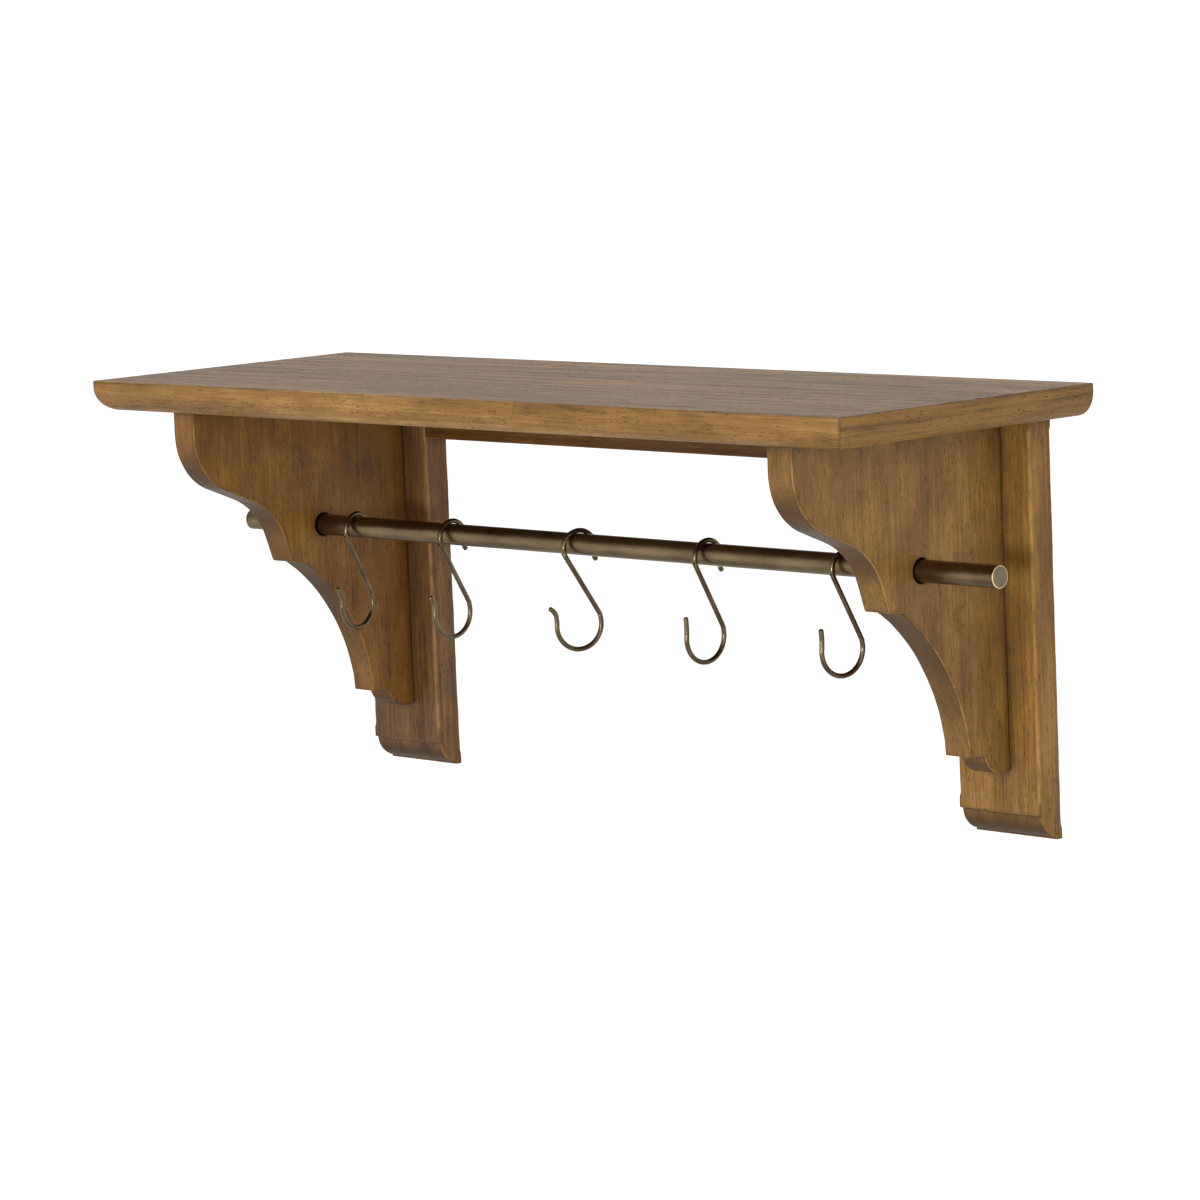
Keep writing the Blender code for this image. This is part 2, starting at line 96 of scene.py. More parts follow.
class Shader:
    """A material's node tree, with short calls for the nodes used here."""

    def __init__(self, name):
        self.material = bpy.data.materials.new(name)
        self.material.use_nodes = True
        self.tree = self.material.node_tree
        self.surface = self.tree.nodes["Principled BSDF"]

    def node(self, kind, **settings):
        made = self.tree.nodes.new(kind)
        for key, value in settings.items():
            setattr(made, key, value)
        return made

    def feed(self, socket, value):
        """Links an output to the socket, or sets the socket to a plain value."""
        if isinstance(value, bpy.types.NodeSocket):
            self.tree.links.new(value, socket)
        elif socket.type == "RGBA":
            socket.default_value = (*value, 1.0)
        else:
            socket.default_value = value

    def set(self, name, value):
        self.feed(self.surface.inputs[name], value)

    def coordinate(self, kind):
        return self.node("ShaderNodeTexCoord").outputs[kind]

    def position(self, seed):
        """The place on the piece, moved by a seed so that each piece has its own pattern."""
        return self.vector("ADD", self.coordinate("Object"), seed)

    def split(self, vector):
        made = self.node("ShaderNodeSeparateXYZ")
        self.feed(made.inputs[0], vector)
        return made.outputs

    def vector(self, operation, *values, output="Vector"):
        made = self.node("ShaderNodeVectorMath", operation=operation)
        for socket, value in zip(made.inputs, values):
            self.feed(socket, value)
        return made.outputs[output]

    def stretch(self, vector, factors):
        return self.vector("MULTIPLY", vector, factors)

    def math(self, operation, a, b=0.0, clamp=False):
        made = self.node("ShaderNodeMath", operation=operation, use_clamp=clamp)
        self.feed(made.inputs[0], a)
        self.feed(made.inputs[1], b)
        return made.outputs[0]

    def times(self, a, b):
        return self.math("MULTIPLY", a, b)

    def weighted(self, first, *others):
        """The sum of the values, each with its weight."""
        total = self.times(*first)
        for value, weight in others:
            total = self.math("ADD", total, self.times(value, weight))
        return total

    def noise_node(self, vector, detail, roughness=0.5, scale=1.0):
        made = self.node("ShaderNodeTexNoise")
        self.feed(made.inputs["Vector"], vector)
        made.inputs["Scale"].default_value = scale
        made.inputs["Detail"].default_value = detail
        made.inputs["Roughness"].default_value = roughness
        return made

    def noise(self, vector, detail=3.0, roughness=0.5):
        return self.noise_node(vector, detail, roughness).outputs["Fac"]

    def cells(self, vector):
        """For each cell of a pattern, the distance to its middle and a chance drawn for it."""
        made = self.node("ShaderNodeTexVoronoi")
        self.feed(made.inputs["Vector"], vector)
        made.inputs["Scale"].default_value = 1.0
        chance = self.node("ShaderNodeSeparateColor")
        self.feed(chance.inputs[0], made.outputs["Color"])
        return made.outputs["Distance"], chance.outputs[0]

    def remap(self, value, low, high, to_low=0.0, to_high=1.0):
        made = self.node("ShaderNodeMapRange", interpolation_type="SMOOTHSTEP")
        self.feed(made.inputs["Value"], value)
        made.inputs["From Min"].default_value = low
        made.inputs["From Max"].default_value = high
        made.inputs["To Min"].default_value = to_low
        made.inputs["To Max"].default_value = to_high
        return made.outputs["Result"]

    def mix(self, factor, a, b):
        made = self.node("ShaderNodeMix", data_type="RGBA", blend_type="MIX")
        self.feed(made.inputs["Factor"], factor)
        self.feed(made.inputs["A"], a)
        self.feed(made.inputs["B"], b)
        return made.outputs["Result"]

    def bump(self, height, distance, strength, normal=None):
        made = self.node("ShaderNodeBump")
        self.feed(made.inputs["Height"], height)
        made.inputs["Distance"].default_value = distance
        made.inputs["Strength"].default_value = strength
        if normal is not None:
            self.feed(made.inputs["Normal"], normal)
        return made.outputs["Normal"]

    def arris(self):
        """1 on the rubbed corners that the mesh marks, 0 elsewhere."""
        return self.node("ShaderNodeAttribute", attribute_name="arris").outputs["Fac"]

    def convex_edge(self, radius):
        """1 on the flats right beside an outer corner, 0 further off and in hollows."""
        rounded = self.node("ShaderNodeBevel", samples=6)
        rounded.inputs["Radius"].default_value = radius
        geometry = self.node("ShaderNodeNewGeometry")
        agree = self.vector(
            "DOT_PRODUCT", rounded.outputs["Normal"], geometry.outputs["Normal"], output="Value"
        )
        beside = self.remap(agree, 0.995, 0.86)
        return self.times(beside, self.math("SUBTRACT", 1.0, self.hollow(radius * 2)))

    def hollow(self, distance):
        """1 deep in a corner, 0 in the open."""
        shade = self.node("ShaderNodeAmbientOcclusion", samples=8)
        shade.inputs["Distance"].default_value = distance
        return self.remap(shade.outputs["AO"], 0.95, 0.35)


# Timber materials: colours are linear, and tones run from dark through middle to light

BROWN = ((0.073, 0.033, 0.007), (0.184, 0.090, 0.022), (0.326, 0.175, 0.048))
TAWNY = ((0.066, 0.029, 0.006), (0.166, 0.078, 0.016), (0.298, 0.156, 0.038))
GOLDEN = ((0.082, 0.039, 0.009), (0.210, 0.104, 0.025), (0.358, 0.197, 0.058))
# redder tones for the left backplate, also darkened as painted shade
RUSSET_IN_SHADE = ((0.052, 0.022, 0.006), (0.132, 0.061, 0.019), (0.240, 0.124, 0.043))
# the brown tones darkened as painted shade, for the left bracket
BROWN_IN_SHADE = ((0.061, 0.023, 0.003), (0.157, 0.066, 0.010), (0.270, 0.130, 0.024))
UMBER = ((0.040, 0.015, 0.002), (0.084, 0.034, 0.005), (0.138, 0.062, 0.011))
BEECH = ((0.46, 0.30, 0.16), (0.60, 0.42, 0.24), (0.70, 0.52, 0.33))
PORE_DARK = (0.040, 0.019, 0.006)
FLECK_DARK = (0.05, 0.026, 0.012)
# painted shade: the dark line on the flats beside each outer arris
EDGE_SHADE = (0.055, 0.026, 0.008)
# dark glaze in the corners, deepened with painted shade where they are hemmed in
CORNER_GLAZE_AND_SHADE = (0.040, 0.018, 0.005)

RINGS_PER_METRE = 230.0
FINE_SHARE = 0.50  # how much the finest streaks count in the tone
END_STAIN = 0.8
# how much darker the moulded foot is painted, as painted shade
FOOT_PAINTED_SHADE = 0.55
GRAIN_AXES = {"X": (1, 0, 0), "Y": (0, 1, 0), "Z": (0, 0, 1)}


def scaled(colour, factor):
    return [c * factor for c in colour]


def along_grain(s, placed, grain, wander):
    """The place as (across, across, along) the grain, and the same with the fibres' slow wander."""
    x, y, z = s.split(placed)
    gathered = s.node("ShaderNodeCombineXYZ")
    ordered = {"X": (y, z, x), "Y": (z, x, y), "Z": (x, y, z)}[grain]
    for socket, value in zip(gathered.inputs, ordered):
        s.feed(socket, value)
    straight = gathered.outputs[0]
    drift = s.noise_node(s.stretch(straight, (7, 7, 1.8)), detail=2, scale=5.0)
    centred = s.vector("SUBTRACT", drift.outputs["Color"], (0.5, 0.5, 0.5))
    return straight, s.vector("ADD", straight, s.stretch(centred, (wander, wander, 0.0)))


def late_wood(s, fibre, pith):
    """1 in the dark part of each growth ring, about a pith that lies outside the piece."""
    from_pith = s.stretch(s.vector("ADD", fibre, (*pith, 0)), (1, 1, 0))
    uneven = s.noise(s.stretch(fibre, (40, 40, 2.5)), detail=2)
    count = s.times(s.vector("LENGTH", from_pith, output="Value"), RINGS_PER_METRE)
    ring = s.math("FRACT", s.math("ADD", count, uneven))
    return s.times(s.remap(ring, 0.25, 0.86), s.remap(ring, 1.0, 0.93))


def open_pores(s, fibre, vein, streak, pits):
    """1 in open pores, which are short dashes along the grain and dots on the ends."""
    distance, chance = s.cells(s.stretch(fibre, (950, 950, 170)))
    crowd = s.weighted((vein, 0.15), (streak, 0.8))
    chosen = s.math("GREATER_THAN", chance, s.math("SUBTRACT", 1.14 - pits, crowd))
    small = s.times(s.remap(distance, 0.48, 0.20), chosen)
    distance, chance = s.cells(s.stretch(fibre, (430, 430, 95)))
    rare = s.math("GREATER_THAN", chance, 0.90)
    return s.math("MAXIMUM", small, s.times(s.remap(distance, 0.36, 0.14), rare))


def end_grain(s, grain):
    """How much more stain the surface drinks where the grain runs out of it."""
    across = s.vector("DOT_PRODUCT", s.coordinate("Normal"), GRAIN_AXES[grain], output="Value")
    return s.remap(s.math("ABSOLUTE", across), 0.05, 0.65, 0.0, END_STAIN)


def foot_painted_shade(s):
    """Painted shade: how much darker the moulding along the foot is painted than the sawn sides
    beside it.
    """
    height = s.split(s.coordinate("Object"))["Z"]
    below = s.remap(height, MOULDING_TOP + 0.001, MOULDING_TOP - 0.001, 0.0, FOOT_PAINTED_SHADE)
    sideways = s.split(s.coordinate("Normal"))["X"]
    return s.times(below, s.remap(s.math("ABSOLUTE", sideways), 0.8, 0.4))


def aged_and_shaded(s, colour, placed, light, glaze_and_shade, wear):
    """The colour with flecks, dark glaze in the corners deepened with painted shade where they are
    hemmed in, painted shade beside the outer arrises, and stain worn off the arrises.
    """
    flecks = s.remap(s.noise(s.stretch(placed, (75, 75, 60)), detail=4), 0.69, 0.78)
    colour = s.mix(s.times(flecks, 0.5), colour, FLECK_DARK)
    patchy = s.remap(s.noise(s.stretch(placed, (55, 55, 55)), detail=4), 0.30, 0.62)
    # painted shade: a dark line on the flats beside each outer arris
    arris_shade = s.times(s.convex_edge(0.0048), 0.80)
    colour = s.mix(s.times(arris_shade, glaze_and_shade), colour, EDGE_SHADE)
    colour = s.mix(s.times(s.times(s.arris(), patchy), wear), colour, scaled(light, 1.5))
    # dark glaze and painted shade in the corners, as dark as they are hemmed in
    cloudy = s.remap(s.noise(s.stretch(placed, (30, 30, 30))), 0.25, 0.7, 0.6)
    deep = s.times(s.hollow(0.015), cloudy)
    return s.mix(s.times(deep, glaze_and_shade), colour, CORNER_GLAZE_AND_SHADE)


def wood(
    name, grain, seed, tones, pith=(0.05, 0.16), *,
    broad=0.95,  # how much each kind of figure counts in the tone
    streaks=0.50,
    blotch=0.22,
    lines=0.10,
    broad_scale=(20, 20, 2.2),
    vein_scale=(120, 120, 1.3),
    vein_from=0.57,  # a lower value makes the veins wider
    wander=0.007,
    pits=0.0,
    # how dark the glaze and painted shade in the corners and beside the arrises are
    glaze_and_shade=0.8,
    wear=0.7,
    # paints the moulded foot darker, as painted shade
    foot_shaded=False,
    roughness=0.46,
    coat=0.0,
    groove=0.0,  # how deep the veins lie in the relief
    depth=0.00035,
):
    """Solid timber: the grain runs through the piece, so ends show pores and faces show lines."""
    dark, middle, light = tones
    s = Shader(name)
    placed = s.position(seed)
    straight, fibre = along_grain(s, placed, grain, wander)
    late = late_wood(s, fibre, pith)

    clouds = s.noise(s.stretch(fibre, broad_scale), detail=4, roughness=0.6)
    streak = s.noise(s.stretch(fibre, (290, 290, 6.5)), detail=4, roughness=0.62)
    fine = s.noise(s.stretch(fibre, (1000, 1000, 26.0)), roughness=0.6)
    figure = s.noise(s.stretch(straight, (34, 34, 17)), detail=4, roughness=0.6)
    vein = s.noise(s.stretch(fibre, vein_scale), roughness=0.55)
    vein = s.math("MAXIMUM", s.remap(vein, vein_from, vein_from + 0.09), s.times(late, 0.4))

    tone = s.weighted(
        (clouds, broad), (streak, streaks), (fine, FINE_SHARE), (figure, blotch), (vein, -lines)
    )
    middle_tone = (broad + streaks + FINE_SHARE + blotch) / 2
    tone = s.remap(tone, middle_tone - 0.42, middle_tone + 0.38)
    lower = s.mix(s.remap(tone, 0.0, 0.5), dark, middle)
    colour = s.mix(s.remap(tone, 0.45, 1.0), lower, light)
    pore = open_pores(s, fibre, vein, streak, pits)
    colour = s.mix(s.times(pore, 0.52), colour, PORE_DARK)
    colour = s.mix(end_grain(s, grain), colour, scaled(middle, 0.25))
    # painted shade on the moulding along the foot
    if foot_shaded:
        colour = s.mix(foot_painted_shade(s), colour, scaled(middle, 0.3))
    s.set("Base Color", aged_and_shaded(s, colour, placed, light, glaze_and_shade, wear))

    rough = s.weighted((fine, 0.22), (pore, 0.25))
    s.set("Roughness", s.math("ADD", rough, roughness - 0.10, clamp=True))
    s.surface.inputs["Specular IOR Level"].default_value = 0.20
    s.surface.inputs["Coat Weight"].default_value = coat
    s.surface.inputs["Coat Roughness"].default_value = 0.32
    relief = s.weighted((fine, 0.35), (pore, -0.9), (streak, 0.5 + groove), (vein, -groove))
    dents = s.noise(s.stretch(placed, (28, 28, 28)))
    surface = s.bump(relief, depth, 0.8, s.bump(dents, 0.0016, 0.35))
    s.set("Normal", surface)
    if coat:
        s.set("Coat Normal", surface)
    return s.material


BRACKET_FIGURE = {
    "streaks": 0.34, "blotch": 0.60, "lines": 0.03, "wear": 0.45, "broad": 0.55,
    "broad_scale": (17, 17, 4.5), "roughness": 0.42,
}
timber = {
    "board": wood(
        "board_timber", "X", (3.10, 1.20, 0.40), GOLDEN, (0.10, 0.13),
        lines=1.10, wear=0.15, coat=0.26, vein_scale=(150, 150, 3.2), vein_from=0.53,
        groove=2.0, depth=0.0009,
    ),
    "board_end": wood(
        "board_end_timber", "Y", (7.10, 4.20, 2.40), GOLDEN, (0.10, 0.13),
        lines=0.14, wear=0.45, wander=0.003, streaks=0.36, broad=0.75,
    ),
    "board_edge": wood(
        "board_edge_timber", "X", (3.10, 1.20, 0.40), GOLDEN, (0.10, 0.13),
        lines=0.14, wear=0.10, wander=0.002, streaks=0.32, broad=0.75, blotch=0.55, pits=0.03,
    ),
    # the left bracket takes the brown tones darkened as painted shade
    "bracket_left": wood(
        "left_bracket_timber", "Z", (5.30, 2.10, 7.70), BROWN_IN_SHADE, (0.15, 0.06), **BRACKET_FIGURE
    ),
    "bracket_right": wood(
        "right_bracket_timber", "Z", (1.70, 6.40, 2.90), BROWN, (0.14, 0.03), **BRACKET_FIGURE
    ),
    # the left backplate's redder tones are also darkened as painted shade
    "plate_left": wood(
        "left_plate_timber", "Z", (8.20, 3.30, 5.10), RUSSET_IN_SHADE, (0.04, 0.12), wear=0.5, blotch=0.6
    ),
    "plate_right": wood(
        "right_plate_timber", "Z", (2.60, 9.10, 4.30), TAWNY, (-0.44, 0.11),
        wear=0.4, blotch=0.5, foot_shaded=True,
    ),
    "rail": wood("rail_timber", "X", (6.60, 4.70, 3.20), UMBER, (0.12, 0.05)),
    "dowel": wood("dowel_beech", "Z", (0.30, 0.90, 1.70), BEECH, glaze_and_shade=0.2, wear=0.0),
}


# Metal materials

def brass(name, base, lift, roughness, seed, stretch=(1, 1, 1), wear=0.0):
    """Antique brass: a brown patina with brushed lines, cloudy stains and brighter rubbed places.

    The stretch sets how the brushed lines run, and wear how far the corners are rubbed bright.
    """
    s = Shader(name)
    placed = s.position(seed)
    cloud = s.noise(s.stretch(placed, (26, 60, 60)), detail=5, roughness=0.6)
    brushed = s.noise(s.stretch(placed, [v * 1500 for v in stretch]))
    tone = s.weighted((cloud, 0.8), (brushed, 0.25))
    colour = s.mix(s.remap(tone, 0.30, 0.78), base, lift)
    specks = s.remap(s.noise(s.stretch(placed, (420, 420, 420))), 0.66, 0.76)
    colour = s.mix(s.times(specks, 0.55), colour, scaled(base, 0.25))
    if wear:
        colour = s.mix(s.times(s.convex_edge(0.0009), wear), colour, (0.80, 0.62, 0.30))
    s.set("Base Color", colour)
    s.surface.inputs["Metallic"].default_value = 1.0
    dull = s.weighted((cloud, 0.20), (specks, 0.2))
    s.set("Roughness", s.math("ADD", dull, roughness - 0.10, clamp=True))
    s.set("Normal", s.bump(brushed, 0.00004, 0.5))
    return s.material


def plated(name, colour, roughness, seed):
    """Zinc-plated steel with faint spangle and handling marks."""
    s = Shader(name)
    placed = s.position(seed)
    _, spangle = s.cells(s.stretch(placed, (700, 700, 700)))
    cloud = s.noise(s.stretch(placed, (120, 120, 120)), detail=4)
    tone = s.weighted((spangle, 0.3), (cloud, 0.7))
    s.set("Base Color", s.mix(tone, scaled(colour, 0.7), colour))
    s.surface.inputs["Metallic"].default_value = 1.0
    s.set("Roughness", s.remap(cloud, 0.3, 0.7, roughness - 0.08, roughness + 0.12))
    s.set("Normal", s.bump(cloud, 0.0001, 0.3))
    return s.material


ROD_BRASS = brass(
    "rod_brass", (0.125, 0.088, 0.045), (0.235, 0.176, 0.096), 0.31, (1.1, 0.2, 0.7), (0.02, 1, 1)
)
RIM_BRASS = brass("rod_rim_brass", (0.62, 0.47, 0.20), (0.85, 0.68, 0.36), 0.30, (0.4, 0.8, 0.1))
CAP_FACE = brass(
    "rod_cap_face", (0.165, 0.128, 0.090), (0.235, 0.192, 0.138), 0.50, (2.2, 0.1, 0.5)
)
HOOK_BRASS = brass(
    "hook_brass", (0.085, 0.062, 0.032), (0.180, 0.134, 0.072), 0.27, (0.9, 0.3, 0.2),
    (0.3, 0.3, 0.05), wear=0.15,
)
ZINC = plated("zinc_plate", (0.62, 0.62, 0.60), 0.36, (0.2, 0.4, 0.6))
SCREW = plated("screw_plate", (0.52, 0.49, 0.42), 0.40, (0.7, 0.1, 0.3))


# Shape helpers

def finish_mesh(name, bm, materials, smooth_angle=35.0):
    bmesh.ops.remove_doubles(bm, verts=bm.verts, dist=1e-6)
    bmesh.ops.recalc_face_normals(bm, faces=bm.faces)
    mesh = bpy.data.meshes.new(name)
    bm.to_mesh(mesh)
    bm.free()
    for material in materials:
        mesh.materials.append(material)
    mesh.shade_smooth()
    mesh.set_sharp_from_angle(angle=math.radians(smooth_angle))
    piece = bpy.data.objects.new(name, mesh)
    bpy.context.scene.collection.objects.link(piece)
    return piece


def weigh(piece):
    """Keeps large flat faces flat where they meet an eased edge."""
    weighting = piece.modifiers.new("flat_faces", "WEIGHTED_NORMAL")
    weighting.weight = 90
    weighting.keep_sharp = True


def stand_for(piece, node, body):
    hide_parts(node)
    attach(piece, body)


def cut(piece, cutter):
    """Takes the cutter's shape out of the piece, for good."""
    boolean = piece.modifiers.new("cut", "BOOLEAN")
    boolean.operation = "DIFFERENCE"
    boolean.solver = "EXACT"
    boolean.object = cutter
    seen = piece.evaluated_get(bpy.context.evaluated_depsgraph_get())
    made = bpy.data.meshes.new_from_object(seen)
    piece.modifiers.clear()
    piece.data = made
    bpy.data.objects.remove(cutter)


def turned(name, profile, axis, place, materials, steps):
    """A solid of revolution from (distance along the axis, radius) pairs, closed at both ends."""
    bm = bmesh.new()
    points = [bm.verts.new((radius, 0, along)) for along, radius in profile]
    edges = [bm.edges.new(pair) for pair in zip(points, points[1:])]
    if profile[0][1] > 0:
        edges.append(bm.edges.new((points[-1], points[0])))
    bmesh.ops.spin(
        bm, geom=points + edges, cent=(0, 0, 0), axis=(0, 0, 1), angle=math.tau, steps=steps
    )
    turn = Vector((0, 0, 1)).rotation_difference(Vector(axis)).to_matrix().to_4x4()
    bmesh.ops.transform(bm, verts=bm.verts, matrix=Matrix.Translation(place) @ turn)
    return finish_mesh(name, bm, materials)


def box_cutter(low, high):
    bm = bmesh.new()
    bmesh.ops.create_cube(bm, size=1)
    size = [b - a for a, b in zip(low, high)]
    middle = [(a + b) / 2 for a, b in zip(low, high)]
    bmesh.ops.transform(
        bm, verts=bm.verts, matrix=Matrix.Translation(middle) @ Matrix.Diagonal((*size, 1))
    )
    return finish_mesh("box_cutter", bm, [])


def skin(bm, rings):
    """Joins each ring of vertices to the next, all the way round."""
    for a, b in zip(rings, rings[1:]):
        for i in range(len(a)):
            j = (i + 1) % len(a)
            bm.faces.new((a[i], a[j], b[j], b[i]))


def arc(centre, radius, start, end, steps):
    """Points on a circle, with angles in degrees from straight out, turning downwards."""
    angles = [math.radians(start + (end - start) * i / steps) for i in range(steps + 1)]
    return [(centre[0] + radius * math.cos(a), centre[1] - radius * math.sin(a)) for a in angles]


def softened(outline, radius):
    """Rounds each sharp corner of a closed outline and puts points every few millimetres."""
    sharp = math.radians(28)
    corner_steps = 4
    spacing = 0.004
    points = [Vector(p) for p in outline]
    result = []
    for i, here in enumerate(points):
        before, after = points[i - 1], points[(i + 1) % len(points)]
        inward, outward = (before - here), (after - here)
        turn = inward.angle(-outward) if inward.length and outward.length else 0
        if turn < sharp:
            result.append(here)
            continue
        reach = min(radius, inward.length * 0.45, outward.length * 0.45)
        start, end = here + inward.normalized() * reach, here + outward.normalized() * reach
        for k in range(corner_steps + 1):
            t = k / corner_steps
            result.append(start.lerp(here, t).lerp(here.lerp(end, t), t))
    spaced = []
    for here, after in zip(result, result[1:] + result[:1]):
        parts = max(1, round((after - here).length / spacing))
        spaced.extend(here.lerp(after, k / parts) for k in range(parts))
    return spaced


def bend_at(points, i, facing):
    """The two sides that meet at a point, and how they bend: above 0 where they turn outwards."""
    before, here, after = points[i - 1], points[i], points[(i + 1) % len(points)]
    first, second = here - before, after - here
    return first, second, (first.x * second.y - first.y * second.x) * facing


def outer_corner(points, i, facing):
    """1 where a closed outline turns sharply outwards, 0 where it is straight, curved or hollow."""
    longest_step = 0.003
    gentle = 150  # radians per metre that are still a curve
    sharpened = 250  # how much more makes a full corner
    first, second, bend = bend_at(points, i, facing)
    if bend <= 0 or min(first.length, second.length) > longest_step:
        return 0.0
    curve = first.angle(second) / max(first.length, second.length)
    return min(1.0, max(0.0, (curve - gentle) / sharpened))


def arris_limits(points, facing):
    """The widest arris at each point: it can't be wider than the corner that it runs round."""
    no_limit = 1.0
    reach = 3
    limits = []
    for i in range(len(points)):
        first, second, bend = bend_at(points, i, facing)
        if bend > 1e-12 and first.angle(second) > 0.02:
            limits.append(0.75 * (first.length + second.length) / 2 / first.angle(second))
        else:
            limits.append(no_limit)
    count = len(points)
    return [min(limits[(i + k) % count] for k in range(-reach, reach + 1)) for i in range(count)]


def eased_prism(name, outline, x_low, x_high, arris, seed, material, radius):
    """A board sawn to an outline of (distance from the wall, height), with hand-worn arrises.

    The arris on both faces varies along the outline, as sanding and wear leave it.
    """
    arris_steps = 4
    rows_across = 6
    points = softened(outline, radius)
    count = len(points)
    area = sum(a.x * b.y - b.x * a.y for a, b in zip(points, points[1:] + points[:1]))
    facing = 1 if area > 0 else -1
    inward = []
    for i in range(count):
        along = (points[(i + 1) % count] - points[i - 1]).normalized()
        inward.append(Vector((-along.y, along.x)) * facing)
    limits = arris_limits(points, facing)
    corners = [outer_corner(points, i, facing) for i in range(count)]
    bm = bmesh.new()
    rubbed = bm.verts.layers.float.new("arris")

    def eased_face(face_x, sign):
        layers = []
        for k in range(arris_steps + 1):
            angle = math.radians(90) * k / arris_steps
            layer = []
            for i, point in enumerate(points):
                spot = Vector((face_x * 30 + seed, point.x * 42, point.y * 42))
                worn = arris + 0.0008 * noise.noise(spot) + 0.0004 * noise.noise(spot * 3.1)
                worn = min(max(THINNEST_ARRIS, worn), limits[i])
                at = point + inward[i] * worn * (1 - math.sin(angle))
                x = face_x + sign * worn * (1 - math.cos(angle))
                vertex = bm.verts.new((x, -at.x, at.y))
                on_edge = k == arris_steps
                vertex[rubbed] = corners[i] if on_edge else math.sin(math.pi * k / arris_steps)
                layer.append(vertex)
            layers.append(layer)
        return layers

    low, high = eased_face(x_low, 1), eased_face(x_high, -1)
    bm.faces.new(low[0])
    bm.faces.new(high[0])
    middle = []
    for k in range(1, rows_across):
        share = k / rows_across
        row = [bm.verts.new(a.co.lerp(b.co, share)) for a, b in zip(low[-1], high[-1])]
        for vertex, corner in zip(row, corners):
            vertex[rubbed] = corner
        middle.append(row)
    skin(bm, low + middle + high[::-1])
    return finish_mesh(name, bm, [material])


# Timber

def board_levels(worn):
    """(inset, height) down the board's edge: the worn arris, a flat, and the rounding under."""
    rows = []
    round_steps = 16
    for k in range(BOARD_ARRIS_STEPS + 1):
        angle = math.radians(90) * k / BOARD_ARRIS_STEPS
        rows.append((worn * (1 - math.sin(angle)), TOP - worn * (1 - math.cos(angle))))
    rows.append((0, TOP - EDGE_FLAT * 0.6))
    rows.append((0, TOP - EDGE_FLAT))
    for step in range(1, round_steps + 1):
        angle = math.radians(90 * step / round_steps)
        inset = EDGE_ROUND_IN * (1 - math.cos(angle))
        rows.append((inset, TOP - EDGE_FLAT - (STOCK - EDGE_FLAT) * math.sin(angle)))
    return rows


def make_board():
    """Square above, rounded under on the front and both ends, square at the back."""
    spacing = 0.006
    half, front, back = BOARD_HALF, BOARD_FRONT, -GAP
    # Stations run from the back left corner along the left end, the front and the right end.
    # Each row draws in from the corners, so that the rounding meets in a mitre.
    corners = [Vector(p) for p in ((-half, back), (-half, front), (half, front), (half, back))]
    outward = [Vector(p) for p in ((-1, 0), (-1, -1), (1, -1), (1, 0))]
    stations = []
    for leg in range(3):
        parts = round((corners[leg + 1] - corners[leg]).length / spacing)
        stations.extend((leg, k / parts) for k in range(parts))
    stations.append((2, 1.0))
    bm = bmesh.new()
    rubbed = bm.verts.layers.float.new("arris")
    columns = []
    for leg, t in stations:
        place = corners[leg].lerp(corners[leg + 1], t)
        spot = Vector((place.x * 45, place.y * 45, 3.0))
        worn = BOARD_ARRIS * (0.9 + 0.8 * noise.noise(spot) + 0.4 * noise.noise(spot * 2.7))
        column = []
        for row, (inset, height) in enumerate(board_levels(max(0.0004, worn))):
            start = corners[leg] - outward[leg] * inset
            end = corners[leg + 1] - outward[leg + 1] * inset
            at = start.lerp(end, t)
            vertex = bm.verts.new((at.x, at.y, height))
            on_arris = row < BOARD_ARRIS_STEPS
            vertex[rubbed] = math.sin(math.pi * row / BOARD_ARRIS_STEPS) if on_arris else 0.0
            column.append(vertex)
        columns.append(column)
    for a, b in zip(columns, columns[1:]):
        for k in range(len(a) - 1):
            bm.faces.new((a[k], b[k], b[k + 1], a[k + 1]))
    bm.faces.new([column[0] for column in columns])
    bm.faces.new([column[-1] for column in columns][::-1])
    bm.faces.new(columns[0] + columns[-1][::-1])
    materials = [timber[name] for name in ("board", "board_end", "board_edge")]
    board = finish_mesh("shelf_board", bm, materials)
    for polygon in board.data.polygons:
        # The ends are lipped: their grain runs front to back, mitred at the front corners.
        from_end = half - abs(polygon.center.x)
        from_front = polygon.center.y - front
        if polygon.center.z < TOP - 0.0008 and polygon.area < 0.001:
            if from_end < min(from_front, EDGE_ROUND_IN):
                polygon.material_index = 1
            elif from_front < EDGE_ROUND_IN:
                polygon.material_index = 2
    weigh(board)
    stand_for(board, "top_board", "shelf")


def bracket_outline():
    """The scrolled side of a bracket, from its top front corner round to its top back corner."""
    ovolo = arc((0.2230, TOP - 0.0505), 0.0548, 0, 68, 24)
    slope = math.radians(22)
    cove_radius = 0.065
    cove_centre = (
        0.2140 + cove_radius * math.sin(slope),
        TOP - 0.1135 - cove_radius * math.cos(slope),
    )
    cove = arc(cove_centre, cove_radius, -112, -162, 16)
    first_step = [(0.1697, TOP - 0.1742), (0.1524, TOP - 0.1768)]
    cavetto = arc((0.2535, TOP - 0.3245), 0.178, -124, -173.6, 30)
    second_step = (0.0768, TOP - 0.3052)
    toe = arc((0.0390, TOP - 0.3030), 0.0200, 14, 90, 16)
    back = STOCK + GAP
    return [
        (0.2778, UNDERSIDE - GAP),
        *ovolo,
        *cove,
        *first_step,
        *cavetto,
        second_step,
        *toe,
        (back, TOP - 0.3230),
        (back, UNDERSIDE - GAP),
    ]


